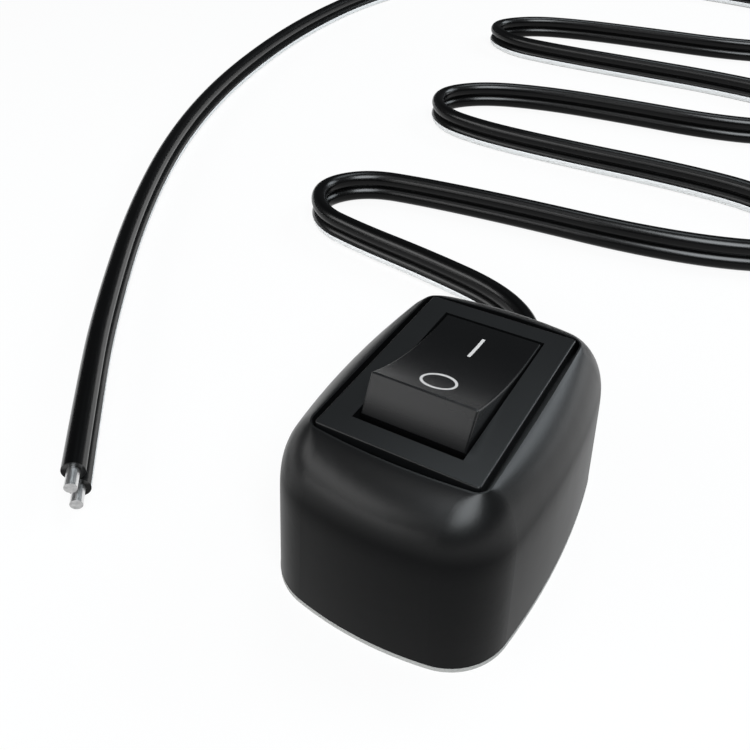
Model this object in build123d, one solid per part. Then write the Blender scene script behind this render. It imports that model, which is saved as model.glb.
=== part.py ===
from build123d import *

import math
import os

# Wired rocker switch, in millimetres. +Z is up, the origin is on the floor under the
# middle of the housing, and the cord leaves towards +Y.

# Bezel of the rocker switch
BEZEL_X = 14.4
BEZEL_Y = 21.0
BEZEL_T = 1.45
BEZEL_CORNER = 0.3
BEZEL_EDGE = 0.15
BEZEL_PROUD = 0.2
BEZEL_SIDE_LIP = 0.9
BEZEL_END_BAND = 2.0

# Housing shell
PAD_T = 0.5
PAD_OUT = 0.02
ROLL_H = 7.4
ROLL_FULL = 3.5
ROLL_CROWN = 0.8
ROLL_CORNER = 0.85
MID_X = 22.78
MID_Y = 31.55
FLARE = 0.465
SIDE_BOW = 1.86
END_BOW = 2.26
MID_CORNER = 6.0
WALL = 1.7
RECESS_GAP_X = 0.62
RECESS_GAP_Y = 0.78
RECESS_BOW_X = 0.15
RECESS_BOW_Y = 0.58
RECESS_CORNER = 1.1
RIM_LAND = 0.15
LEDGE_T = 1.8
FIT = 0.15

# Base plate and its screws
PLATE_T = 1.5
SCREW_X = 7.2
SCREW_Y = 11.5
SCREW_R = 0.7
SCREW_HEAD_R = 1.25
SCREW_HEAD_H = 0.8
SCREW_LENGTH = 6.0
SCREW_POST_R = 1.75
SCREW_POST_H = 8.0

# Rocker, in its own frame about the pivot axis
ROCKER_GAP = 0.2
ROCKER_TILT = 11.27
ROCKER_DISH = 0.8
ROCKER_EDGE = 0.2
ROCKER_TOP_T = 1.4
ROCKER_WALL = 1.2
PIVOT_DEPTH = 5.0
END_SLANT = 20.0
END_DEPTH = 3.3
TRUNNION_R = 1.25
TRUNNION_PLAY = 0.05
TRUNNION_L = 1.3
BOSS_R = 2.0
BOSS_DROP = 2.3
BORE_PLAY = 0.08
BORE_TOP = 3.6

# Switch body below the bezel
FRAME_WALL = 1.4
FRAME_END_WALL = 0.75
FLOOR_T = 1.2
OPENING_DEPTH = 3.1
SNAP_OUT = 0.45
SNAP_H = 1.6
SNAP_W = 5.0

# Plunger and its spring
PLUNGER_R = 1.0
PLUNGER_HEAD = 0.6
PLUNGER_GAP = 0.1
SPRING_WIRE_R = 0.14
SPRING_PLAY = 0.05
SPRING_TURNS = 5

# Contact lever, contacts and terminals
LEVER_DROP = 4.35
LEVER_RISE = 0.2
LEVER_T = 0.5
LEVER_W = 3.2
LEVER_TIP = 0.8
LEVER_VEE = 8.0
LEVER_TILT = 6.0
KNUCKLE_R = 0.6
KNUCKLE_PLAY = 0.05
CONTACT_AT = 4.5
CONTACT_R = 0.9
CONTACT_T = 0.6
CONTACT_STEM_R = 0.45
CONTACT_GAP = 0.08
FIXED_R = 1.2
FIXED_T = 0.5
TERMINAL_T = 0.6
LUG_X = 2.6
LUG_W = 2.4
LUG_DROP = 2.3
SADDLE_W = 2.2
SADDLE_LOW = 0.1

# Twin-lobe cord, standing on its edge
CORD_LOBE_R = 1.2
CORD_PITCH = 2.35
CORD_PLAY = 0.15
LEAD_R = 1.1
LEAD_BEND = 2.0
LEAD_CLEAR = 0.19
LEAD_A_TURN = 1.2
LEAD_A_SPREAD = 4.6
LEAD_B_TURN = 2.0
LEAD_B_SPREAD = 5.4
SLEEVE_T = 0.3
SLEEVE_PLAY = 0.04
SLEEVE_LONG = 3.6
SLEEVE_SHORT = 2.0
WIRE_R = 0.65
WIRE_LENGTH = 2.3

# Clamp bar that holds the cord down
CLAMP_X = 9.6
CLAMP_Y = 3.0
CLAMP_T = 1.4
CLAMP_BACK = 4.1
CLAMP_POST_X = 3.3
CLAMP_POST_R = 1.45
CLAMP_SCREW_R = 0.7
CLAMP_HEAD_R = 1.2
CLAMP_HEAD_H = 0.9
CLAMP_SCREW_L = 2.2

# Corner points of the cord's route on the floor, from inside the housing to the bare end
CORD_ROUTE = [
    (0.0, 9.0),
    (0.0, 19.5),
    (-1.7, 28.5),
    (-8.6, 34.5),
    (-21.3, 37.4),
    (-33.2, 39.3),
    (-41.8, 41.5),
    (-46.6, 48.8),
    (-41.8, 55.8),
    (-31.7, 57.5),
    (-15.9, 58.7),
    (1.9, 59.2),
    (15.3, 61.8),
    (24.2, 66.4),
    (24.7, 76.0),
    (15.7, 82.4),
    (1.8, 84.0),
    (-17.0, 83.8),
    (-33.7, 84.5),
    (-44.3, 87.5),
    (-49.4, 96.3),
    (-43.4, 104.3),
    (-30.7, 108.1),
    (-13.9, 109.2),
    (1.9, 109.3),
    (13.9, 112.4),
    (19.3, 122.4),
    (12.8, 132.7),
    (-2.2, 135.3),
    (-20.2, 135.9),
    (-38.1, 136.5),
    (-51.3, 138.2),
    (-60.0, 146.8),
    (-53.0, 156.2),
    (-40.0, 159.5),
    (-22.0, 160.6),
    (-5.0, 161.2),
    (10.0, 165.5),
    (21.0, 178.0),
    (20.0, 196.0),
    (8.0, 208.5),
    (-12.0, 214.5),
    (-36.0, 218.0),
    (-62.0, 216.0),
    (-85.1, 204.5),
    (-99.1, 183.0),
    (-103.8, 158.0),
    (-103.0, 132.0),
    (-98.9, 106.0),
    (-91.3, 78.0),
    (-80.5, 52.1),
    (-66.1, 27.3),
    (-50.1, 4.9),
    (-40.0, -7.4),
    (-32.4, -16.3),
]

# Cord levels
CORD_MID_Z = CORD_LOBE_R + CORD_PITCH / 2
CORD_TOP = 2 * CORD_LOBE_R + CORD_PITCH
UPPER_LOBE_Z = CORD_LOBE_R + CORD_PITCH
NOTCH_HALF = CORD_LOBE_R + CORD_PLAY
CORD_START_Y = CORD_ROUTE[0][1]
CLAMP_Z = CORD_TOP + 0.02
CLAMP_AT = MID_Y / 2 - CLAMP_BACK
SLEEVE_R = LEAD_R + SLEEVE_PLAY + SLEEVE_T

# Floor of the switch body, contacts, lever and pivot, stacked from the leads up
VEE = math.radians(LEVER_VEE)
LEVER_ANGLE = math.radians(LEVER_TILT)
LEVER_T_Z = LEVER_T / math.cos(VEE)
LEVER_REACH = CONTACT_AT + LEVER_TIP
CONTACT_ARM_Z = LEVER_RISE + CONTACT_AT * math.tan(VEE)
CONTACT_ARM_LIFT = CONTACT_ARM_Z * math.cos(LEVER_ANGLE) - CONTACT_AT * math.sin(LEVER_ANGLE)
CONTACT_Y = -CONTACT_AT * math.cos(LEVER_ANGLE) - CONTACT_ARM_Z * math.sin(LEVER_ANGLE)
FRAME_BOTTOM = UPPER_LOBE_Z + SLEEVE_R + LEAD_CLEAR
FLOOR_TOP = FRAME_BOTTOM + FLOOR_T
FOOT_TOP = FLOOR_TOP + TERMINAL_T
FIXED_TOP = FOOT_TOP + FIXED_T
LEVER_Z = FIXED_TOP + CONTACT_GAP + CONTACT_T - CONTACT_ARM_LIFT
PIVOT_Z = LEVER_Z + LEVER_DROP
PLUNGER_REACH = LEVER_DROP - LEVER_RISE - LEVER_T_Z - PLUNGER_GAP
LUG_END = FRAME_BOTTOM - LUG_DROP
LOAD_LUG_Y = CONTACT_Y + FIXED_R - TERMINAL_T

# Housing levels, from the pivot up to the bezel and the rim
BEZEL_TOP = PIVOT_Z + PIVOT_DEPTH
RIM_Z = BEZEL_TOP - BEZEL_PROUD
LEDGE_Z = BEZEL_TOP - BEZEL_T
LEDGE_UNDER = LEDGE_Z - LEDGE_T
MID_Z = RIM_Z - ROLL_H
PLATE_TOP = PAD_T + PLATE_T
TILT = math.radians(ROCKER_TILT)

BODY_HALF_X = BEZEL_X / 2 - BEZEL_SIDE_LIP
WELL_HALF_X = BODY_HALF_X - FRAME_WALL
ROCKER_HALF_X = WELL_HALF_X - ROCKER_GAP
OPENING_HALF_Y = BEZEL_Y / 2 - BEZEL_END_BAND

# The rocker's pressed end stands level with the bezel and a gap away from the opening
EDGE_Y = OPENING_HALF_Y - ROCKER_GAP
ROCKER_HALF_Y = EDGE_Y * math.cos(TILT) - PIVOT_DEPTH * math.sin(TILT)
ROCKER_TOP = EDGE_Y * math.sin(TILT) + PIVOT_DEPTH * math.cos(TILT)
FOOT_Y = ROCKER_HALF_Y + END_DEPTH * math.tan(math.radians(END_SLANT))
FOOT_Z = ROCKER_TOP - END_DEPTH
WELL_HALF_Y = FOOT_Y * math.cos(TILT) + FOOT_Z * math.sin(TILT) + ROCKER_GAP * 0.85
BODY_HALF_Y = WELL_HALF_Y + FRAME_END_WALL


def block(x0, x1, y0, y1, z0, z1):
    """A box between two corners."""
    middle = Pos((x0 + x1) / 2, (y0 + y1) / 2, (z0 + z1) / 2)
    return middle * Box(x1 - x0, y1 - y0, z1 - z0)


def rod(x, y, z0, z1, radius):
    """An upright cylinder between two heights."""
    return Pos(x, y, (z0 + z1) / 2) * Cylinder(radius, z1 - z0)


def bowed_face(half_x, half_y, bow_x, bow_y, corner):
    """A rounded rectangle with bowed sides: four long arcs joined by four corner arcs."""
    radius_x = (half_y**2 + bow_x**2) / (2 * bow_x)
    radius_y = (half_x**2 + bow_y**2) / (2 * bow_y)
    side_x = half_x - radius_x
    end_y = half_y - radius_y

    # A corner arc touches both long arcs, so its middle is a known distance from theirs
    apart = math.hypot(side_x, end_y)
    reach_x = radius_x - corner
    reach_y = radius_y - corner
    along = (reach_x**2 - reach_y**2 + apart**2) / (2 * apart)
    off = math.sqrt(reach_x**2 - along**2)
    corner_x = side_x - (along * side_x + off * end_y) / apart
    corner_y = (along * end_y - off * side_x) / apart
    low = math.degrees(math.atan2(corner_y, corner_x - side_x))
    high = math.degrees(math.atan2(corner_y - end_y, corner_x))
    turn = high - low
    arcs = [
        CenterArc((side_x, 0), radius_x, -low, 2 * low),
        CenterArc((corner_x, corner_y), corner, low, turn),
        CenterArc((0, end_y), radius_y, high, 180 - 2 * high),
        CenterArc((-corner_x, corner_y), corner, 180 - high, turn),
        CenterArc((-side_x, 0), radius_x, 180 - low, 2 * low),
        CenterArc((-corner_x, -corner_y), corner, 180 + low, turn),
        CenterArc((0, -end_y), radius_y, 180 + high, 180 - 2 * high),
        CenterArc((corner_x, -corner_y), corner, 360 - high, turn),
    ]
    return make_face(arcs)


def housing_section(level, inset):
    """The housing's outline at one height, moved inwards by a wall's thickness."""
    rim_x = BEZEL_X / 2 + RECESS_GAP_X + RIM_LAND
    rim_y = BEZEL_Y / 2 + RECESS_GAP_Y + RIM_LAND
    rim_corner = RECESS_CORNER + RIM_LAND
    flare = FLARE * (MID_Z - level) / (MID_Z - PAD_T)
    share = 1.0
    if level > MID_Z:
        share = max(0.0, 1 - ((level - MID_Z) / ROLL_H) ** ROLL_FULL) ** ROLL_CROWN
    half_x = rim_x + (MID_X / 2 + flare - rim_x) * share - inset
    half_y = rim_y + (MID_Y / 2 + flare - rim_y) * share - inset
    bow_x = RECESS_BOW_X + (SIDE_BOW - RECESS_BOW_X) * share
    bow_y = RECESS_BOW_Y + (END_BOW - RECESS_BOW_Y) * share
    corner = rim_corner + (MID_CORNER - rim_corner) * share**ROLL_CORNER - 0.6 * inset
    return bowed_face(half_x, half_y, bow_x, bow_y, corner)


def housing_loft(levels, inset):
    """A solid through the housing's outlines at the given heights."""
    sections = [Pos(0, 0, level) * housing_section(level, inset) for level in levels]
    return loft(sections)


def cord_notch(y0, y1):
    """The slot the cord passes through, open at the floor."""
    slot = block(-NOTCH_HALF, NOTCH_HALF, y0, y1, -1.0, UPPER_LOBE_Z)
    top = Pos(0, (y0 + y1) / 2, UPPER_LOBE_Z) * Rot(90, 0, 0) * Cylinder(NOTCH_HALF, y1 - y0)
    return slot + top


def roll_level(angle):
    """A height on the rolled shoulder: 0 degrees is its foot and 90 degrees is the rim."""
    return MID_Z + ROLL_H * math.sin(math.radians(angle))


def housing_shell():
    straight = [PAD_T + (MID_Z - PAD_T) * step / 8 for step in range(9)]
    rolled = [roll_level(angle) for angle in (10, 20, 30, 41, 53, 66, 78, 90)]
    shell = housing_loft(straight + rolled, 0.0)

    ledge_angle = math.degrees(math.asin((LEDGE_UNDER - MID_Z) / ROLL_H))
    inner_rolled = [roll_level(ledge_angle * step / 4) for step in range(1, 5)]
    shell -= housing_loft(straight + inner_rolled, WALL)

    posts = []
    for x in (-SCREW_X, SCREW_X):
        for y in (-SCREW_Y, SCREW_Y):
            posts.append(rod(x, y, PLATE_TOP, PLATE_TOP + SCREW_POST_H, SCREW_POST_R))
    for post in posts:
        shell += post
    for x in (-SCREW_X, SCREW_X):
        for y in (-SCREW_Y, SCREW_Y):
            shell -= rod(x, y, PLATE_TOP - 1, PLATE_TOP + SCREW_LENGTH, SCREW_R + 0.02)

    recess = bowed_face(
        BEZEL_X / 2 + RECESS_GAP_X,
        BEZEL_Y / 2 + RECESS_GAP_Y,
        RECESS_BOW_X,
        RECESS_BOW_Y,
        RECESS_CORNER,
    )
    shell -= Pos(0, 0, LEDGE_Z) * extrude(recess, RIM_Z - LEDGE_Z + 1)
    hole_x = BODY_HALF_X + FIT
    hole_y = BODY_HALF_Y + FIT
    shell -= block(-hole_x, hole_x, -hole_y, hole_y, LEDGE_UNDER - 2, LEDGE_Z + 1)
    shell -= cord_notch(CLAMP_AT, MID_Y)
    return shell


def plate_outline(inset):
    return housing_section(PLATE_TOP, WALL + inset)


def base_plate():
    plate = Pos(0, 0, PAD_T) * extrude(plate_outline(FIT), PLATE_T)
    for x in (-CLAMP_POST_X, CLAMP_POST_X):
        plate += rod(x, CLAMP_AT, PLATE_TOP - 0.1, CLAMP_Z, CLAMP_POST_R)
        plate -= rod(x, CLAMP_AT, CLAMP_Z - CLAMP_SCREW_L, CLAMP_Z + 1, CLAMP_SCREW_R + 0.02)
    plate -= block(-NOTCH_HALF, NOTCH_HALF, CORD_START_Y, MID_Y, -1, CORD_TOP)
    window_y = CORD_START_Y - LEAD_B_SPREAD + 0.2
    plate -= block(-LUG_X - LEAD_R, NOTCH_HALF, window_y, CORD_START_Y + 0.4, -1, CORD_TOP)
    for x in (-SCREW_X, SCREW_X):
        for y in (-SCREW_Y, SCREW_Y):
            plate -= rod(x, y, -1, PLATE_TOP + 1, SCREW_R + 0.05)
            sink = Cone(SCREW_HEAD_R + 0.05, SCREW_R + 0.05, SCREW_HEAD_H)
            plate -= Pos(x, y, PAD_T + SCREW_HEAD_H / 2) * sink
    return plate


def base_screws():
    screws = []
    for x in (-SCREW_X, SCREW_X):
        for y in (-SCREW_Y, SCREW_Y):
            head = Pos(x, y, PAD_T + 0.02 + SCREW_HEAD_H / 2) * Cone(SCREW_HEAD_R, SCREW_R, SCREW_HEAD_H)
            shank = rod(x, y, PAD_T + SCREW_HEAD_H, PLATE_TOP + SCREW_LENGTH - 0.3, SCREW_R)
            socket = block(x - 0.8, x + 0.8, y - 0.15, y + 0.15, PAD_T, PAD_T + 0.4)
            screws.append(head + shank - socket)
    return Compound(screws)


def adhesive_pad():
    pad = extrude(housing_section(PAD_T, -PAD_OUT), PAD_T)
    pad -= block(-NOTCH_HALF, NOTCH_HALF, CORD_START_Y, MID_Y, -1, CORD_TOP)
    window_y = CORD_START_Y - LEAD_B_TURN - 1.6
    pad -= block(-NOTCH_HALF - 0.6, NOTCH_HALF, window_y, CORD_START_Y + 0.4, -1, CORD_TOP)
    return pad


def switch_frame():
    bezel = Pos(0, 0, LEDGE_Z) * extrude(RectangleRounded(BEZEL_X, BEZEL_Y, BEZEL_CORNER), BEZEL_T)
    bezel = fillet(bezel.faces().sort_by(Axis.Z)[-1].edges(), BEZEL_EDGE)
    frame = bezel + block(
        -BODY_HALF_X, BODY_HALF_X, -BODY_HALF_Y, BODY_HALF_Y, FRAME_BOTTOM, LEDGE_Z
    )

    well_z = BEZEL_TOP - OPENING_DEPTH
    frame -= block(
        -WELL_HALF_X, WELL_HALF_X, -WELL_HALF_Y, WELL_HALF_Y, FLOOR_TOP, well_z
    )
    taper = Polyline(
        (-WELL_HALF_Y, well_z),
        (WELL_HALF_Y, well_z),
        (OPENING_HALF_Y, BEZEL_TOP),
        (OPENING_HALF_Y, BEZEL_TOP + 1),
        (-OPENING_HALF_Y, BEZEL_TOP + 1),
        (-OPENING_HALF_Y, BEZEL_TOP),
        close=True,
    )
    mouth = extrude(Plane.YZ * make_face(taper), WELL_HALF_X, both=True)
    frame -= mouth

    axle = Pos(0, 0, PIVOT_Z) * Rot(0, 90, 0)
    frame -= axle * Cylinder(TRUNNION_R + TRUNNION_PLAY, BEZEL_X + 2)

    slot = TERMINAL_T / 2 + 0.05
    half = LUG_W / 2 + 0.05
    for x, y in ((LUG_X, LOAD_LUG_Y + TERMINAL_T / 2), (-LUG_X, 0.0)):
        frame -= block(x - half, x + half, y - slot, y + slot, FRAME_BOTTOM - 1, FLOOR_TOP + 0.1)

    snap_top = LEDGE_UNDER - 0.1
    for side in (-1, 1):
        wedge = Polyline(
            (side * (BODY_HALF_Y - 0.2), snap_top - SNAP_H),
            (side * BODY_HALF_Y, snap_top - SNAP_H),
            (side * (BODY_HALF_Y + SNAP_OUT), snap_top),
            (side * (BODY_HALF_Y - 0.2), snap_top),
            close=True,
        )
        frame += extrude(Plane.YZ * make_face(wedge), SNAP_W / 2, both=True)
    return frame


def rocker_place():
    """From the rocker's own frame to its resting tilt on the pivot."""
    return Pos(0, 0, PIVOT_Z) * Rot(-ROCKER_TILT, 0, 0)


def rocker():
    dish = ThreePointArc(
        (-ROCKER_HALF_Y, ROCKER_TOP),
        (0, ROCKER_TOP - ROCKER_DISH),
        (ROCKER_HALF_Y, ROCKER_TOP),
    )
    lower = Polyline(
        (ROCKER_HALF_Y, ROCKER_TOP),
        (FOOT_Y, FOOT_Z),
        (FOOT_Y - 0.65, FOOT_Z - 1.2),
        (2.4, -BOSS_DROP + 0.3),
        (-2.4, -BOSS_DROP + 0.3),
        (-FOOT_Y + 0.65, FOOT_Z - 1.2),
        (-FOOT_Y, FOOT_Z),
        (-ROCKER_HALF_Y, ROCKER_TOP),
    )
    side = Plane.YZ * make_face(dish.edges() + lower.edges())
    button = extrude(side, ROCKER_HALF_X, both=True)
    upper = button.edges().filter_by(lambda edge: edge.center().Z > FOOT_Z + 0.2)
    button = fillet(upper, ROCKER_EDGE)

    under = ROCKER_TOP - ROCKER_DISH - ROCKER_TOP_T
    slope = math.tan(math.radians(END_SLANT))
    top_y = ROCKER_HALF_Y + (ROCKER_TOP - under) * slope - ROCKER_WALL
    foot_y = FOOT_Y - ROCKER_WALL
    pocket = Polyline(
        (-top_y, under),
        (top_y, under),
        (foot_y, FOOT_Z),
        (foot_y, -2 * BOSS_DROP),
        (-foot_y, -2 * BOSS_DROP),
        (-foot_y, FOOT_Z),
        close=True,
    )
    inner_x = ROCKER_HALF_X - ROCKER_WALL
    button -= extrude(Plane.YZ * make_face(pocket), inner_x, both=True)
    button += rod(0, 0, -BOSS_DROP, under + 0.3, BOSS_R)
    for side_sign in (-1, 1):
        pin = Pos(side_sign * (ROCKER_HALF_X + TRUNNION_L / 2 - 0.1), 0, 0) * Rot(0, 90, 0)
        button += pin * Cylinder(TRUNNION_R, TRUNNION_L + 0.2)
    button -= rod(0, 0, -BOSS_DROP - 1, BORE_TOP, PLUNGER_R + BORE_PLAY)
    return rocker_place() * button


def plunger():
    tip_z = -PLUNGER_REACH + PLUNGER_R
    body = rod(0, 0, tip_z, PLUNGER_HEAD, PLUNGER_R)
    body += Pos(0, 0, tip_z) * Sphere(PLUNGER_R)
    return rocker_place() * body


def plunger_spring():
    height = BORE_TOP - PLUNGER_HEAD - 2 * SPRING_WIRE_R - 0.04
    radius = PLUNGER_R - SPRING_PLAY - SPRING_WIRE_R
    coil = Helix(height / SPRING_TURNS, height, radius)
    wire = Plane(origin=coil @ 0, z_dir=coil % 0) * Circle(SPRING_WIRE_R)
    spring = sweep(wire, path=coil)
    return rocker_place() * Pos(0, 0, PLUNGER_HEAD + SPRING_WIRE_R + 0.02) * spring


def lever_place():
    """From the lever's own frame to its resting tilt on the saddle."""
    return Pos(0, 0, LEVER_Z) * Rot(LEVER_TILT, 0, 0)


def contact_lever():
    end_z = LEVER_RISE + LEVER_REACH * math.tan(VEE)
    arms = Polyline(
        (-LEVER_REACH, end_z),
        (0, LEVER_RISE),
        (LEVER_REACH, end_z),
        (LEVER_REACH, end_z + LEVER_T_Z),
        (0, LEVER_RISE + LEVER_T_Z),
        (-LEVER_REACH, end_z + LEVER_T_Z),
        close=True,
    )
    lever = extrude(Plane.YZ * make_face(arms), LEVER_W / 2, both=True)
    lever += Rot(0, 90, 0) * Cylinder(KNUCKLE_R, LEVER_W)
    lever -= contact_axis() * Cylinder(CONTACT_STEM_R + 0.02, 3.0)
    return lever_place() * lever


def contact_axis():
    """The moving contact's own axis, square to the front arm's underside."""
    return Pos(0, -CONTACT_AT, CONTACT_ARM_Z) * Rot(-LEVER_VEE, 0, 0)


def moving_contact():
    disc = Pos(0, 0, -CONTACT_T / 2) * Cylinder(CONTACT_R, CONTACT_T)
    stem = Pos(0, 0, LEVER_T / 2) * Cylinder(CONTACT_STEM_R, LEVER_T)
    return lever_place() * contact_axis() * (disc + stem)


def fixed_contact():
    return rod(0, CONTACT_Y, FOOT_TOP, FIXED_TOP, FIXED_R)


def load_terminal():
    front = CONTACT_Y - FIXED_R - 0.1
    back = LOAD_LUG_Y + TERMINAL_T
    right = LUG_X + LUG_W / 2
    foot = block(-FIXED_R - 0.3, right, front, back, FLOOR_TOP, FOOT_TOP)
    lug = block(right - LUG_W, right, LOAD_LUG_Y, back, LUG_END, FLOOR_TOP)
    return foot + lug


def common_terminal():
    half = SADDLE_W / 2
    left = -LUG_X - LUG_W / 2
    stand = block(left, LEVER_W / 2, -half, half, FLOOR_TOP, LEVER_Z - SADDLE_LOW)
    stand -= Pos(0, 0, LEVER_Z) * Rot(0, 90, 0) * Cylinder(KNUCKLE_R + KNUCKLE_PLAY, BEZEL_X)
    lug = block(left, left + LUG_W, -TERMINAL_T / 2, TERMINAL_T / 2, LUG_END, FLOOR_TOP)
    return stand + lug


def swept(path, radius):
    """A round rod along a path."""
    ring = Plane(origin=path @ 0, z_dir=path % 0) * Circle(radius)
    return sweep(ring, path=path)


def core_lead_a():
    end_y = LOAD_LUG_Y + TERMINAL_T
    path = FilletPolyline(
        (0, CORD_START_Y, UPPER_LOBE_Z),
        (0, CORD_START_Y - LEAD_A_TURN, UPPER_LOBE_Z),
        (LUG_X, CORD_START_Y - LEAD_A_SPREAD, UPPER_LOBE_Z),
        (LUG_X, end_y, UPPER_LOBE_Z),
        radius=LEAD_BEND,
    )
    return swept(path, LEAD_R)


def core_lead_b():
    path = FilletPolyline(
        (0, CORD_START_Y, CORD_LOBE_R),
        (0, CORD_START_Y - LEAD_B_TURN, CORD_LOBE_R),
        (-LUG_X, CORD_START_Y - LEAD_B_SPREAD, UPPER_LOBE_Z),
        (-LUG_X, TERMINAL_T / 2, UPPER_LOBE_Z),
        radius=LEAD_BEND,
    )
    return swept(path, LEAD_R)


def sleeve(x, y0, length):
    """A short insulating tube over the end of a lead."""
    inner = LEAD_R + SLEEVE_PLAY
    place = Pos(x, y0 + length / 2, UPPER_LOBE_Z) * Rot(90, 0, 0)
    return place * (Cylinder(inner + SLEEVE_T, length) - Cylinder(inner, length + 1))


def lead_sleeve_a():
    return sleeve(LUG_X, LOAD_LUG_Y + TERMINAL_T + 0.05, SLEEVE_LONG)


def lead_sleeve_b():
    return sleeve(-LUG_X, TERMINAL_T / 2 + 0.05, SLEEVE_SHORT)


def cable_clamp():
    y0 = CLAMP_AT - CLAMP_Y / 2
    y1 = CLAMP_AT + CLAMP_Y / 2
    bar = block(-CLAMP_X / 2, CLAMP_X / 2, y0, y1, CLAMP_Z, CLAMP_Z + CLAMP_T)
    bar = fillet(bar.edges().filter_by(Axis.Z), 0.6)
    for x in (-CLAMP_POST_X, CLAMP_POST_X):
        bar -= rod(x, CLAMP_AT, CLAMP_Z - 1, CLAMP_Z + CLAMP_T + 1, CLAMP_SCREW_R + 0.05)
    return bar


def clamp_screws():
    screws = []
    seat = CLAMP_Z + CLAMP_T
    for x in (-CLAMP_POST_X, CLAMP_POST_X):
        screw = rod(x, CLAMP_AT, CLAMP_Z - CLAMP_SCREW_L + 0.2, seat, CLAMP_SCREW_R)
        screw += rod(x, CLAMP_AT, seat, seat + CLAMP_HEAD_H, CLAMP_HEAD_R)
        screw -= block(x - 2, x + 2, CLAMP_AT - 0.2, CLAMP_AT + 0.2, seat + 0.5, seat + 2)
        screws.append(screw)
    return Compound(screws)


def route_radii(points):
    """The widest even bend at each corner: 45 % of its shorter run."""
    radii = []
    for before, corner, after in zip(points, points[1:], points[2:]):
        run_in = math.dist(before, corner)
        run_out = math.dist(corner, after)
        heading_in = math.atan2(corner[1] - before[1], corner[0] - before[0])
        heading_out = math.atan2(after[1] - corner[1], after[0] - corner[0])
        turn = abs((heading_out - heading_in + math.pi) % (2 * math.pi) - math.pi)
        radii.append(0.45 * min(run_in, run_out) / math.tan(turn / 2))
    return radii


def cord_path():
    radii = route_radii(CORD_ROUTE)
    points = [(x, y, CORD_MID_Z) for x, y in CORD_ROUTE]
    return FilletPolyline(*points, radius=radii)


def cord(path):
    """A flat twin cord on edge, as one plain round-edged ribbon."""
    heading = path % 0
    across = Vector(heading.Y, -heading.X, 0)
    place = Plane(origin=path @ 0, x_dir=across, z_dir=heading)
    section = place * Rot(0, 0, 90) * SlotOverall(CORD_TOP, 2 * CORD_LOBE_R)
    return sweep(section, path=path)


def conductor(path, level):
    """One bare wire standing out of the cord's free end."""
    end = path @ 1
    heading = path % 1
    place = Plane(origin=(end.X, end.Y, level), z_dir=heading)
    return place * Pos(0, 0, WIRE_LENGTH / 2) * Cylinder(WIRE_R, WIRE_LENGTH)


def main():
    os.makedirs("parts", exist_ok=True)
    path = cord_path()
    cord_solid = cord(path)
    radii = route_radii(CORD_ROUTE)
    section_area = math.pi * CORD_LOBE_R**2 + 2 * CORD_LOBE_R * CORD_PITCH
    print("cord length", round(path.length, 1), "tightest bend", round(min(radii), 1))
    print("cord volume / section x length", round(cord_solid.volume / section_area / path.length, 4))

    export_step(housing_shell(), "parts/housing_shell.step")
    export_step(base_plate(), "parts/base_plate.step")
    export_step(adhesive_pad(), "parts/adhesive_pad.step")
    export_step(base_screws(), "parts/base_screws.step")
    export_step(switch_frame(), "parts/switch_frame.step")
    export_step(rocker(), "parts/rocker.step")
    export_step(plunger(), "parts/plunger.step")
    export_step(plunger_spring(), "parts/plunger_spring.step")
    export_step(contact_lever(), "parts/contact_lever.step")
    export_step(moving_contact(), "parts/moving_contact.step")
    export_step(fixed_contact(), "parts/fixed_contact.step")
    export_step(common_terminal(), "parts/common_terminal.step")
    export_step(load_terminal(), "parts/load_terminal.step")
    export_step(core_lead_a(), "parts/core_lead_a.step")
    export_step(core_lead_b(), "parts/core_lead_b.step")
    export_step(lead_sleeve_a(), "parts/lead_sleeve_a.step")
    export_step(lead_sleeve_b(), "parts/lead_sleeve_b.step")
    export_step(cable_clamp(), "parts/cable_clamp.step")
    export_step(clamp_screws(), "parts/clamp_screws.step")
    export_step(cord_solid, "parts/cord.step")
    export_step(conductor(path, UPPER_LOBE_Z), "parts/conductor_a.step")
    export_step(conductor(path, CORD_LOBE_R), "parts/conductor_b.step")


main()
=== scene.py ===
import math

import bmesh
import bpy
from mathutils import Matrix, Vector


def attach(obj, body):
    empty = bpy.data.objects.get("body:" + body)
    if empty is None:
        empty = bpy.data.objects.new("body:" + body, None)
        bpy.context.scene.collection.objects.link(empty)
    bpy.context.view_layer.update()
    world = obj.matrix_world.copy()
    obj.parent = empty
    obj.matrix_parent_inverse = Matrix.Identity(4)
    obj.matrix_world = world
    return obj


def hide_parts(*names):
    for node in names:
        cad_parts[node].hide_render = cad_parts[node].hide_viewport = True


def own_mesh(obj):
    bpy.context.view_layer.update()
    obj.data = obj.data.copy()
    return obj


# Wired rocker switch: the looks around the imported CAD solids. Metres, in the CAD frame; angles in degrees.
MM = 0.001

# Camera, fitted to the photograph
EYE = (0.02015, -0.04776, 0.05901)
PITCH = 38.95
YAW = 30.27
FOCAL_MM = 37.57
SENSOR_MM = 36.0
CLIP_NEAR = 0.001
CLIP_FAR = 20.0

# Twin-lobe cord, standing on its edge. WEB_HALF is half the width of the web between the lobes
LOBE_R = 1.2 * MM
LOBE_PITCH = 2.35 * MM
WEB_HALF = 0.3 * MM
CORD_MID_Z = LOBE_R + LOBE_PITCH / 2
LOBE_STEPS = 24

# Stripe on the lower lobe: a white band and, below it, a grey band of painted shade on the stripe's lower
# side, between three angles, up from the lobe's left side.
# Section points nearer than STRIPE_EDGE_ROOM to a band's edge are left out
STRIPE_TOP = 6.0
STRIPE_MIDDLE = -3.5
STRIPE_BOTTOM = -54.0
STRIPE_EDGE_ROOM = 5
JACKET = 0
WHITE_BAND = 1
# The grey band's material number: painted shade on the stripe's lower side
PAINTED_SHADE_BAND = 2
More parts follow.
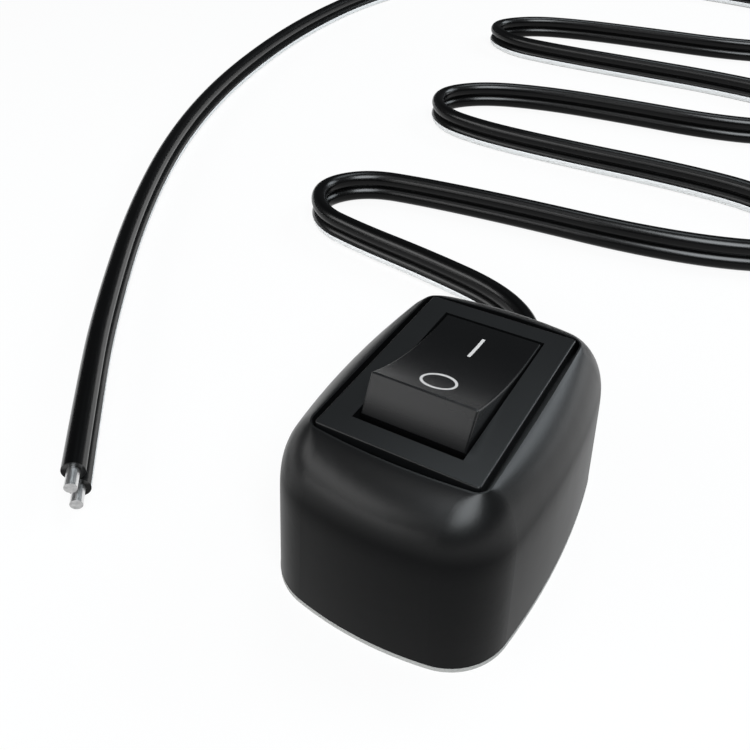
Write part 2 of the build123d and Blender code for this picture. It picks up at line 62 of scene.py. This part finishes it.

# The cord's lay on the floor: control points of a NURBS curve, listed from the housing to the bare end
ROUTE_ORDER = 3
ROUTE_RESOLUTION = 12
CORD_ROUTE = [
    (0.0, 0.009),
    (0.0, 0.0195),
    (-0.0017, 0.0285),
    (-0.0086, 0.0345),
    (-0.0213, 0.0374),
    (-0.0332, 0.0393),
    (-0.0418, 0.0415),
    (-0.0466, 0.0488),
    (-0.0418, 0.0558),
    (-0.0317, 0.0575),
    (-0.0159, 0.0587),
    (0.0019, 0.0592),
    (0.0153, 0.0618),
    (0.0242, 0.0664),
    (0.0247, 0.076),
    (0.0157, 0.0824),
    (0.0018, 0.084),
    (-0.017, 0.0838),
    (-0.0337, 0.0845),
    (-0.0443, 0.0875),
    (-0.0494, 0.0963),
    (-0.0434, 0.1043),
    (-0.0307, 0.1081),
    (-0.0139, 0.1092),
    (0.0019, 0.1093),
    (0.0139, 0.1124),
    (0.0193, 0.1224),
    (0.0128, 0.1327),
    (-0.0022, 0.1353),
    (-0.0202, 0.1359),
    (-0.0381, 0.1365),
    (-0.0513, 0.1382),
    (-0.06, 0.1468),
    (-0.053, 0.1562),
    (-0.04, 0.1595),
    (-0.022, 0.1606),
    (-0.005, 0.1612),
    (0.01, 0.1655),
    (0.021, 0.178),
    (0.02, 0.196),
    (0.008, 0.2085),
    (-0.012, 0.2145),
    (-0.036, 0.218),
    (-0.062, 0.216),
    (-0.0851, 0.2045),
    (-0.0991, 0.183),
    (-0.1038, 0.158),
    (-0.103, 0.132),
    (-0.0989, 0.106),
    (-0.0913, 0.078),
    (-0.0805, 0.0521),
    (-0.0661, 0.0273),
    (-0.0501, 0.0049),
    (-0.04, -0.0074),
    (-0.0324, -0.0163),
]

# The way the bare end points
CORD_END_HEADING = (0.6494, -0.7605, 0.0)

# Rocker's own frame: pivot height, resting tilt, and the dish of its top face
PIVOT_Z = 12.1525 * MM
ROCKER_TILT = 11.27
ROCKER_HALF_Y = 7.163 * MM
ROCKER_TOP = 6.526 * MM
ROCKER_DISH = 0.8 * MM

# Printed marks on the dish: a ring for off and a bar for on, from just above the surface to just below it
MARK_LIFT = 0.012 * MM
MARK_SINK = -0.03 * MM
RING_AT = (0.0, -4.27 * MM)
RING_OUTER = (1.56 * MM, 1.68 * MM)
RING_INNER = (1.345 * MM, 1.34 * MM)
RING_STEPS = 72
BAR_AT = (-0.02 * MM, 3.5 * MM)
BAR_HALF = (0.15 * MM, 1.68 * MM)
BAR_CORNER_R = 0.04 * MM
BAR_CORNER_STEPS = 4
BAR_SPANS = 16

# Plunger's spring, in the rocker's own frame
SPRING_LOW = 0.62 * MM
SPRING_TOP = 3.58 * MM
SPRING_R = 0.81 * MM
SPRING_WIRE_R = 0.14 * MM
SPRING_TURNS = 5
SPRING_TURN_STEPS = 28
SPRING_SIDES = 10

# White floor: FLOOR_SHARE is how much of it is plain white where it is seen, the rest takes light and shadow
FLOOR_SIZE = 40.0
FLOOR_Z = -0.00002
FLOOR_PAPER = (0.96, 0.96, 0.96, 1)
FLOOR_WHITE = (1, 1, 1, 1)
FLOOR_SHARE = 0.9
WORLD_COLOUR = (0.93, 0.96, 1.0, 1)
WORLD_LEVEL = 0.06

# Lamps stand round this point
LAMP_TARGET = (0.0, 0.0, 0.01)
LAMP_DISTANCE = 0.6

# Plastic: a slow drift in colour and gloss, and a fine grain. GLOSS pairs are shares of the roughness
DRIFT_SCALE = 160.0
DRIFT_DETAIL = 3.0
PLASTIC_GLOSS = (0.93, 1.07)
GRAIN_DETAIL = 2.0
GRAIN_DEPTH = 0.00002

# Metal: fine lines, and the tones of a cut end, as shares of the colour
LINE_SCALE = 2500.0
LINE_DETAIL = 3.0
LINE_DARK = 0.86
METAL_GLOSS = (0.8, 1.2)
CUT_DARK = 0.25
CUT_LIGHT = 0.85
CUT_FACING = 0.9

# Shine by height, painted shade and painted highlight: stops of (height, share of the full shine), lowest
# first
# Painted shade: the shine is cut on the shell's lower walls and the rocker's lower part, darkening their
# reflections
SHELL_SHINE = [(12.3 * MM, 0.11), (15.8 * MM, 1.0)]
ROCKER_SHINE = [(16.8 * MM, 0.12), (18.8 * MM, 1.0)]
# Painted highlight and painted shade: full shine in a band on each lobe's upper side, cut on the lobes'
# undersides and tops
CORD_SHINE = [
    (1.4 * MM, 0.18),
    (1.95 * MM, 1.0),
    (2.25 * MM, 0.8),
    (2.45 * MM, 0.2),
    (3.75 * MM, 0.2),
    (4.25 * MM, 1.0),
    (4.45 * MM, 0.9),
    (4.65 * MM, 0.3),
]


def new_material(name):
    """An empty node material, with its node tree and output."""
    material = bpy.data.materials.new(name)
    material.use_nodes = True
    tree = material.node_tree
    tree.nodes.clear()
    output = tree.nodes.new("ShaderNodeOutputMaterial")
    return material, tree, output


def plastic(name, colour, roughness, specular, grain, bump, patches=0.12, shine=None):
    """Moulded plastic: a fine grain in the surface and a slow drift in colour and gloss.

    grain is the grain's scale, bump its strength and patches the share by which the colour drifts.
    shine gives stops of (height, share of the full shine) for the specular level: painted shade where the
    shine is cut, painted highlight where it stays full.
    """
    material, tree, output = new_material(name)
    nodes = tree.nodes
    links = tree.links
    shader = nodes.new("ShaderNodeBsdfPrincipled")
    shader.inputs["Specular IOR Level"].default_value = specular
    links.new(shader.outputs["BSDF"], output.inputs["Surface"])
    place = nodes.new("ShaderNodeTexCoord")
    # Painted shade and painted highlight: the specular level follows the height through the shine stops
    if shine:
        lowest = shine[0][0]
        highest = shine[-1][0]
        split = nodes.new("ShaderNodeSeparateXYZ")
        links.new(place.outputs["Object"], split.inputs["Vector"])
        height = nodes.new("ShaderNodeMapRange")
        height.inputs["From Min"].default_value = lowest
        height.inputs["From Max"].default_value = highest
        links.new(split.outputs["Z"], height.inputs["Value"])
        level = nodes.new("ShaderNodeValToRGB")
        level.color_ramp.interpolation = "EASE"
        level.color_ramp.elements.remove(level.color_ramp.elements[1])
        for number, (stop, share) in enumerate(shine):
            at = (stop - lowest) / (highest - lowest)
            if number:
                element = level.color_ramp.elements.new(at)
            else:
                element = level.color_ramp.elements[0]
            element.position = at
            element.color = [specular * share] * 3 + [1]
        links.new(height.outputs["Result"], level.inputs["Fac"])
        links.new(level.outputs["Color"], shader.inputs["Specular IOR Level"])

    drift = nodes.new("ShaderNodeTexNoise")
    drift.inputs["Scale"].default_value = DRIFT_SCALE
    drift.inputs["Detail"].default_value = DRIFT_DETAIL
    links.new(place.outputs["Object"], drift.inputs["Vector"])
    tint = nodes.new("ShaderNodeMix")
    tint.data_type = "RGBA"
    tint.inputs["A"].default_value = [c * (1 - patches) for c in colour] + [1]
    tint.inputs["B"].default_value = [c * (1 + patches) for c in colour] + [1]
    links.new(drift.outputs["Fac"], tint.inputs["Factor"])
    links.new(tint.outputs["Result"], shader.inputs["Base Color"])

    gloss = nodes.new("ShaderNodeMapRange")
    gloss.inputs["To Min"].default_value = roughness * PLASTIC_GLOSS[0]
    gloss.inputs["To Max"].default_value = roughness * PLASTIC_GLOSS[1]
    links.new(drift.outputs["Fac"], gloss.inputs["Value"])
    links.new(gloss.outputs["Result"], shader.inputs["Roughness"])

    speck = nodes.new("ShaderNodeTexNoise")
    speck.inputs["Scale"].default_value = grain
    speck.inputs["Detail"].default_value = GRAIN_DETAIL
    links.new(place.outputs["Object"], speck.inputs["Vector"])
    relief = nodes.new("ShaderNodeBump")
    relief.inputs["Strength"].default_value = bump
    relief.inputs["Distance"].default_value = GRAIN_DEPTH
    links.new(speck.outputs["Fac"], relief.inputs["Height"])
    links.new(relief.outputs["Normal"], shader.inputs["Normal"])
    return material


def metal(name, colour, roughness, stretch, cut=None):
    """Drawn or rolled metal with fine lines.

    stretch scales the lines along X, Y and Z: less than 1 draws them out that way.
    cut is the direction that a rough, duller cut end faces.
    """
    material, tree, output = new_material(name)
    nodes = tree.nodes
    links = tree.links
    shader = nodes.new("ShaderNodeBsdfPrincipled")
    shader.inputs["Metallic"].default_value = 1.0
    links.new(shader.outputs["BSDF"], output.inputs["Surface"])
    place = nodes.new("ShaderNodeTexCoord")
    along = nodes.new("ShaderNodeMapping")
    along.inputs["Scale"].default_value = stretch
    links.new(place.outputs["Object"], along.inputs["Vector"])
    lines = nodes.new("ShaderNodeTexNoise")
    lines.inputs["Scale"].default_value = LINE_SCALE
    lines.inputs["Detail"].default_value = LINE_DETAIL
    links.new(along.outputs["Vector"], lines.inputs["Vector"])
    tint = nodes.new("ShaderNodeMix")
    tint.data_type = "RGBA"
    tint.inputs["A"].default_value = [c * LINE_DARK for c in colour] + [1]
    tint.inputs["B"].default_value = list(colour) + [1]
    links.new(lines.outputs["Fac"], tint.inputs["Factor"])
    links.new(tint.outputs["Result"], shader.inputs["Base Color"])
    if cut:
        side = nodes.new("ShaderNodeNewGeometry")
        facing = nodes.new("ShaderNodeVectorMath")
        facing.operation = "DOT_PRODUCT"
        facing.inputs[1].default_value = cut
        links.new(side.outputs["True Normal"], facing.inputs[0])
        sawn = nodes.new("ShaderNodeMath")
        sawn.operation = "GREATER_THAN"
        sawn.inputs[1].default_value = CUT_FACING
        links.new(facing.outputs["Value"], sawn.inputs[0])
        rough = nodes.new("ShaderNodeMix")
        rough.data_type = "RGBA"
        rough.inputs["A"].default_value = [c * CUT_DARK for c in colour] + [1]
        rough.inputs["B"].default_value = [c * CUT_LIGHT for c in colour] + [1]
        links.new(lines.outputs["Fac"], rough.inputs["Factor"])
        end = nodes.new("ShaderNodeMix")
        end.data_type = "RGBA"
        links.new(sawn.outputs["Value"], end.inputs["Factor"])
        links.new(tint.outputs["Result"], end.inputs["A"])
        links.new(rough.outputs["Result"], end.inputs["B"])
        links.new(end.outputs["Result"], shader.inputs["Base Color"])
    gloss = nodes.new("ShaderNodeMapRange")
    gloss.inputs["To Min"].default_value = roughness * METAL_GLOSS[0]
    gloss.inputs["To Max"].default_value = roughness * METAL_GLOSS[1]
    links.new(lines.outputs["Fac"], gloss.inputs["Value"])
    links.new(gloss.outputs["Result"], shader.inputs["Roughness"])
    return material


def paint_node(name, material):
    """Gives a CAD node one material."""
    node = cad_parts[name]
    node.data.materials.clear()
    node.data.materials.append(material)


def mesh_object(name, verts, faces, smooth=True):
    """A mesh object in the scene, from its points and faces."""
    mesh = bpy.data.meshes.new(name)
    mesh.from_pydata(verts, [], faces)
    mesh.validate()
    for polygon in mesh.polygons:
        polygon.use_smooth = smooth
    obj = bpy.data.objects.new(name, mesh)
    bpy.context.scene.collection.objects.link(obj)
    return obj


def finish_tube(tube):
    """Turns a tube's faces outwards and makes its two end caps, the last faces, flat with sharp edges."""
    work = bmesh.new()
    work.from_mesh(tube.data)
    work.faces.ensure_lookup_table()
    for cap in work.faces[-2:]:
        cap.smooth = False
        for edge in cap.edges:
            edge.smooth = False
    bmesh.ops.recalc_face_normals(work, faces=work.faces)
    work.to_mesh(tube.data)
    work.free()


def route_points():
    """Points along the route's NURBS spline."""
    curve = bpy.data.curves.new("cord_route", "CURVE")
    curve.dimensions = "3D"
    spline = curve.splines.new("NURBS")
    spline.points.add(len(CORD_ROUTE) - 1)
    for point, (x, y) in zip(spline.points, CORD_ROUTE):
        point.co = (x, y, CORD_MID_Z, 1)
    spline.order_u = ROUTE_ORDER
    spline.use_endpoint_u = True
    spline.resolution_u = ROUTE_RESOLUTION
    holder = bpy.data.objects.new("cord_route", curve)
    bpy.context.scene.collection.objects.link(holder)
    bpy.context.view_layer.update()
    line = bpy.data.meshes.new_from_object(holder)
    points = [Vector(v.co) for v in line.vertices]
    bpy.data.objects.remove(holder)
    bpy.data.meshes.remove(line)
    bpy.data.curves.remove(curve)
    return points


def cord_section():
    """The figure-8 outline as (left, up, material number) points, once round, upper lobe first."""
    web = math.degrees(math.acos(WEB_HALF / LOBE_R))
    edges = [360 + STRIPE_BOTTOM, 360 + STRIPE_MIDDLE, 360 + STRIPE_TOP]
    outline = []
    for step in range(LOBE_STEPS + 1):
        angle = -web + (180 + 2 * web) * step / LOBE_STEPS
        left = LOBE_R * math.cos(math.radians(angle))
        up = LOBE_PITCH / 2 + LOBE_R * math.sin(math.radians(angle))
        outline.append((left, up, JACKET))
    lower = [180 - web + (180 + 2 * web) * step / LOBE_STEPS for step in range(LOBE_STEPS + 1)]
    lower = [angle for angle in lower if min(abs(angle - edge) for edge in edges) > STRIPE_EDGE_ROOM]
    for angle in sorted(lower + edges):
        left = LOBE_R * math.cos(math.radians(angle))
        up = -LOBE_PITCH / 2 + LOBE_R * math.sin(math.radians(angle))
        number = JACKET
        # Below the white band the stripe is painted grey as shade on its lower side
        if edges[0] <= angle < edges[1]:
            number = PAINTED_SHADE_BAND
        if edges[1] <= angle < edges[2]:
            number = WHITE_BAND
        outline.append((left, up, number))
    return outline


def build_cord(jacket, stripe, painted_shade_stripe):
    """The figure-8 cord along its route, with the stripe's white band and its grey band of painted shade; the
    bare wires are CAD nodes.
    """
    points = route_points()
    outline = cord_section()
    count = len(outline)
    verts = []
    faces = []
    numbers = []
    for i, point in enumerate(points):
        before = points[max(i - 1, 0)]
        after = points[min(i + 1, len(points) - 1)]
        heading = (after - before).normalized()
        left = Vector((-heading.y, heading.x, 0))
        for side, up, _ in outline:
            verts.append(point + left * side + Vector((0, 0, up)))
    for i in range(len(points) - 1):
        for k in range(count):
            n = (k + 1) % count
            faces.append((i * count + k, i * count + n, (i + 1) * count + n, (i + 1) * count + k))
            numbers.append(outline[k][2])
    faces.append(tuple(reversed(range(count))))
    faces.append(tuple(range((len(points) - 1) * count, len(points) * count)))
    numbers += [JACKET, JACKET]
    cord = mesh_object("cord_jacket", verts, faces)
    cord.data.materials.append(jacket)
    cord.data.materials.append(stripe)
    cord.data.materials.append(painted_shade_stripe)
    for polygon, number in zip(cord.data.polygons, numbers):
        polygon.material_index = number
    finish_tube(cord)
    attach(cord, "housing")
    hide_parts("cord")


def build_stage():
    """A wide floor that takes the object's shadow: white to the rays that show it, paper to the rest."""
    bpy.ops.mesh.primitive_plane_add(size=FLOOR_SIZE, location=(0, 0, FLOOR_Z))
    floor = bpy.context.object
    floor.name = "floor"
    material, tree, output = new_material("floor_white")
    nodes = tree.nodes
    links = tree.links
    paper = nodes.new("ShaderNodeBsdfDiffuse")
    paper.inputs["Color"].default_value = FLOOR_PAPER
    white = nodes.new("ShaderNodeEmission")
    white.inputs["Color"].default_value = FLOOR_WHITE
    white.inputs["Strength"].default_value = 1.0
    rays = nodes.new("ShaderNodeLightPath")
    direct = nodes.new("ShaderNodeMath")
    direct.operation = "MAXIMUM"
    links.new(rays.outputs["Is Camera Ray"], direct.inputs[0])
    links.new(rays.outputs["Is Glossy Ray"], direct.inputs[1])
    seen = nodes.new("ShaderNodeMath")
    seen.operation = "MAXIMUM"
    links.new(direct.outputs["Value"], seen.inputs[0])
    links.new(rays.outputs["Is Transmission Ray"], seen.inputs[1])
    share = nodes.new("ShaderNodeMath")
    share.operation = "MULTIPLY"
    share.inputs[1].default_value = FLOOR_SHARE
    links.new(seen.outputs["Value"], share.inputs[0])
    mix = nodes.new("ShaderNodeMixShader")
    links.new(share.outputs["Value"], mix.inputs["Fac"])
    links.new(paper.outputs["BSDF"], mix.inputs[1])
    links.new(white.outputs["Emission"], mix.inputs[2])
    links.new(mix.outputs["Shader"], output.inputs["Surface"])
    floor.data.materials.append(material)


def build_world():
    """A dim, even room light."""
    world = bpy.data.worlds.new("studio")
    bpy.context.scene.world = world
    world.use_nodes = True
    background = world.node_tree.nodes["Background"]
    background.inputs["Color"].default_value = WORLD_COLOUR
    background.inputs["Strength"].default_value = WORLD_LEVEL


def softbox(name, azimuth, elevation, size, radiance, colour=(1, 1, 1)):
    """A flat lamp facing the housing, placed by its direction, with an even radiance over its face."""
    data = bpy.data.lights.new(name, "AREA")
    data.shape = "RECTANGLE"
    data.size = size[0]
    data.size_y = size[1]
    data.energy = radiance * math.pi * size[0] * size[1]
    data.color = colour
    lamp = bpy.data.objects.new(name, data)
    bpy.context.scene.collection.objects.link(lamp)
    turn = math.radians(azimuth)
    rise = math.radians(elevation)
    away = Vector((math.cos(rise) * math.cos(turn), math.cos(rise) * math.sin(turn), math.sin(rise)))
    lamp.location = Vector(LAMP_TARGET) + away * LAMP_DISTANCE
    lamp.rotation_mode = "QUATERNION"
    lamp.rotation_quaternion = (-away).to_track_quat("-Z", "Y")


def build_camera():
    """The photograph's camera."""
    data = bpy.data.cameras.new("photo_camera")
    data.lens = FOCAL_MM
    data.sensor_width = SENSOR_MM
    data.clip_start = CLIP_NEAR
    data.clip_end = CLIP_FAR
    camera = bpy.data.objects.new("photo_camera", data)
    bpy.context.scene.collection.objects.link(camera)
    yaw = math.radians(YAW)
    pitch = math.radians(PITCH)
    forward = Vector(
        (-math.sin(yaw) * math.cos(pitch), math.cos(yaw) * math.cos(pitch), -math.sin(pitch))
    )
    camera.location = EYE
    camera.rotation_mode = "QUATERNION"
    camera.rotation_quaternion = forward.to_track_quat("-Z", "Y")
    bpy.context.scene.camera = camera


def rocker_place(x, y, z):
    """From the rocker's own frame to its resting tilt on the pivot."""
    tilt = math.radians(-ROCKER_TILT)
    return Vector(
        (
            x,
            y * math.cos(tilt) - z * math.sin(tilt),
            PIVOT_Z + y * math.sin(tilt) + z * math.cos(tilt),
        )
    )


def rocker_point(x, y, lift):
    """A point above the rocker's dished top by lift, at its resting tilt."""
    radius = (ROCKER_HALF_Y**2 + ROCKER_DISH**2) / (2 * ROCKER_DISH)
    centre = ROCKER_TOP - ROCKER_DISH + radius
    z = centre - math.sqrt((radius - lift) ** 2 - y * y)
    return rocker_place(x, y, z)


def build_spring(material):
    """The coil spring over the plunger, built at one length between SPRING_LOW and SPRING_TOP."""
    sides = SPRING_SIDES
    steps = SPRING_TURN_STEPS * SPRING_TURNS
    low = SPRING_LOW + SPRING_WIRE_R
    rise = SPRING_TOP - SPRING_WIRE_R - low
    verts = []
    faces = []
    for step in range(steps + 1):
        turn = 2 * math.pi * SPRING_TURNS * step / steps
        for side in range(sides):
            angle = 2 * math.pi * side / sides
            reach = SPRING_R + SPRING_WIRE_R * math.cos(angle)
            z = low + rise * step / steps + SPRING_WIRE_R * math.sin(angle)
            verts.append(rocker_place(reach * math.cos(turn), reach * math.sin(turn), z))
    for step in range(steps):
        for side in range(sides):
            after = (side + 1) % sides
            here = step * sides
            there = here + sides
            faces.append((here + side, here + after, there + after, there + side))
    faces.append(tuple(reversed(range(sides))))
    faces.append(tuple(range(steps * sides, (steps + 1) * sides)))
    coil = mesh_object("spring_coil", verts, faces)
    coil.data.materials.append(material)
    finish_tube(coil)
    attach(coil, "rocker")
    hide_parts("plunger_spring")
    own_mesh(coil)


def build_mark(name, outer, inner, ring, material):
    """A printed sign on the rocker's dish: a band between two lines, a closed ring or a bar with two ends."""
    count = len(outer)
    verts = []
    for level in (MARK_LIFT, MARK_SINK):
        verts += [rocker_point(x, y, level) for x, y in outer]
        verts += [rocker_point(x, y, level) for x, y in inner]
    faces = []
    for k in range(count if ring else count - 1):
        n = (k + 1) % count
        faces.append((k, n, count + n, count + k))
        faces.append((2 * count + n, 2 * count + k, 3 * count + k, 3 * count + n))
        faces.append((n, k, 2 * count + k, 2 * count + n))
        faces.append((count + k, count + n, 3 * count + n, 3 * count + k))
    if not ring:
        last = count - 1
        faces.append((0, count, 3 * count, 2 * count))
        faces.append((last, 2 * count + last, 3 * count + last, count + last))
    mark = mesh_object(name, verts, faces, smooth=False)
    mark.data.materials.append(material)
    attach(mark, "rocker")


def oval(centre, radii):
    """Points round an oval, on the rocker's top."""
    cx, cy = centre
    rx, ry = radii
    turns = [2 * math.pi * k / RING_STEPS for k in range(RING_STEPS)]
    return [(cx + rx * math.cos(turn), cy + ry * math.sin(turn)) for turn in turns]


def bar_edges():
    """The right and left edge of the bar with its rounded corners, from its front end to its back end."""
    cx, cy = BAR_AT
    half_x, half_y = BAR_HALF
    flat = half_x - BAR_CORNER_R
    straight = half_y - BAR_CORNER_R
    corner = []
    for step in range(BAR_CORNER_STEPS + 1):
        turn = math.radians(90 * step / BAR_CORNER_STEPS)
        corner.append((straight + BAR_CORNER_R * math.cos(turn), flat + BAR_CORNER_R * math.sin(turn)))
    rows = [(-along, reach) for along, reach in corner]
    rows += [(straight * (2 * step / BAR_SPANS - 1), half_x) for step in range(1, BAR_SPANS)]
    rows += reversed(corner)
    right = [(cx + reach, cy + along) for along, reach in rows]
    left = [(cx - reach, cy + along) for along, reach in rows]
    return right, left


def build_marks(material):
    """The ring and the bar, the plain signs for off and on."""
    build_mark("mark_off", oval(RING_AT, RING_OUTER), oval(RING_AT, RING_INNER), True, material)
    bar_right, bar_left = bar_edges()
    build_mark("mark_on", bar_right, bar_left, False, material)


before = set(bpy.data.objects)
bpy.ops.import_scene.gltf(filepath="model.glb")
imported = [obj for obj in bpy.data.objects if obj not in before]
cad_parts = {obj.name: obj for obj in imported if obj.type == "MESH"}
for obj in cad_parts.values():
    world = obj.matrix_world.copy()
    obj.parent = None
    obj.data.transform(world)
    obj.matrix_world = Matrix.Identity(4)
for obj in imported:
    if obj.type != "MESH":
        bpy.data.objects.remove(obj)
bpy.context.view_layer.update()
scene = bpy.context.scene
scene.view_settings.view_transform = "Standard"

shell_black = plastic(
    "shell_black", (0.0032, 0.0033, 0.0035),
    roughness=0.33, specular=0.44, grain=5200.0, bump=0.1, shine=SHELL_SHINE,
)
frame_black = plastic(
    "frame_black", (0.006, 0.0064, 0.0068),
    roughness=0.34, specular=0.43, grain=6000.0, bump=0.12,
)
rocker_black = plastic(
    "rocker_black", (0.0072, 0.0073, 0.0076),
    roughness=0.27, specular=0.45, grain=6000.0, bump=0.12, shine=ROCKER_SHINE,
)
plate_black = plastic(
    "plate_black", (0.012, 0.012, 0.013),
    roughness=0.5, specular=0.3, grain=4000.0, bump=0.2,
)
cord_black = plastic(
    "cord_black", (0.002, 0.002, 0.0021),
    roughness=0.26, specular=0.7, grain=3000.0, bump=0.06, shine=CORD_SHINE,
)
stripe_white = plastic(
    "stripe_white", (0.95, 0.95, 0.95),
    roughness=0.5, specular=0.2, grain=3000.0, bump=0.05, patches=0.02,
)
# Painted shade: a greyer copy of the white stripe, for the stripe's lower side
stripe_painted_shade = plastic(
    "stripe_painted_shade", (0.87, 0.87, 0.86),
    roughness=0.5, specular=0.2, grain=3000.0, bump=0.05, patches=0.04,
)
pad_grey = plastic(
    "pad_grey", (0.42, 0.415, 0.4),
    roughness=0.8, specular=0.1, grain=2600.0, bump=0.4, patches=0.06,
)
mark_white = plastic(
    "mark_white", (0.7, 0.675, 0.66),
    roughness=0.55, specular=0.2, grain=5000.0, bump=0.1, patches=0.04,
)
tin = metal("tinned_wire", (0.82, 0.82, 0.82), roughness=0.35, stretch=(1.0, 1.0, 1.0), cut=CORD_END_HEADING)
steel = metal("screw_steel", (0.6, 0.6, 0.59), roughness=0.3, stretch=(1.0, 1.0, 0.2))
brass = metal("terminal_brass", (0.74, 0.56, 0.27), roughness=0.3, stretch=(0.2, 1.0, 1.0))
copper = metal("lever_copper", (0.72, 0.42, 0.27), roughness=0.3, stretch=(1.0, 0.2, 1.0))
contact = metal("contact_silver", (0.86, 0.85, 0.82), roughness=0.25, stretch=(1.0, 1.0, 1.0))
spring = metal("spring_steel", (0.55, 0.55, 0.55), roughness=0.28, stretch=(1.0, 1.0, 1.0))
plunger_white = plastic(
    "plunger_white", (0.8, 0.8, 0.77),
    roughness=0.35, specular=0.5, grain=3000.0, bump=0.05, patches=0.03,
)
sleeve_pale = plastic(
    "sleeve_pale", (0.7, 0.7, 0.66),
    roughness=0.4, specular=0.5, grain=3000.0, bump=0.05, patches=0.05,
)

node_looks = {
    "housing_shell": shell_black,
    "switch_frame": frame_black,
    "rocker": rocker_black,
    "base_plate": plate_black,
    "cable_clamp": plate_black,
    "adhesive_pad": pad_grey,
    "core_lead_a": cord_black,
    "core_lead_b": cord_black,
    "conductor_a": tin,
    "conductor_b": tin,
    "base_screws": steel,
    "clamp_screws": steel,
    "common_terminal": brass,
    "load_terminal": brass,
    "contact_lever": copper,
    "moving_contact": contact,
    "fixed_contact": contact,
    "plunger": plunger_white,
    "lead_sleeve_a": sleeve_pale,
    "lead_sleeve_b": sleeve_pale,
}
for node_name, look in node_looks.items():
    paint_node(node_name, look)

build_camera()
build_cord(cord_black, stripe_white, stripe_painted_shade)
build_marks(mark_white)
build_spring(spring)

build_stage()
build_world()
softbox("key", azimuth=310, elevation=52, size=(0.37, 0.42), radiance=6.0, colour=(0.92, 0.97, 1.0))
softbox("back_right", azimuth=55, elevation=32, size=(0.36, 0.22), radiance=4.0, colour=(0.88, 0.95, 1.0))
softbox("back_low", azimuth=52, elevation=5, size=(0.35, 0.1), radiance=2.0, colour=(0.95, 0.98, 1.0))
softbox("left", azimuth=226, elevation=30, size=(0.64, 0.22), radiance=2.2)
softbox("left_low", azimuth=246, elevation=8.0, size=(0.5, 0.13), radiance=2.5)
softbox("back_top", azimuth=98, elevation=62, size=(0.24, 0.18), radiance=5.0, colour=(0.88, 0.96, 1.0))
softbox("overhead", azimuth=240, elevation=70, size=(0.34, 0.28), radiance=0.4)
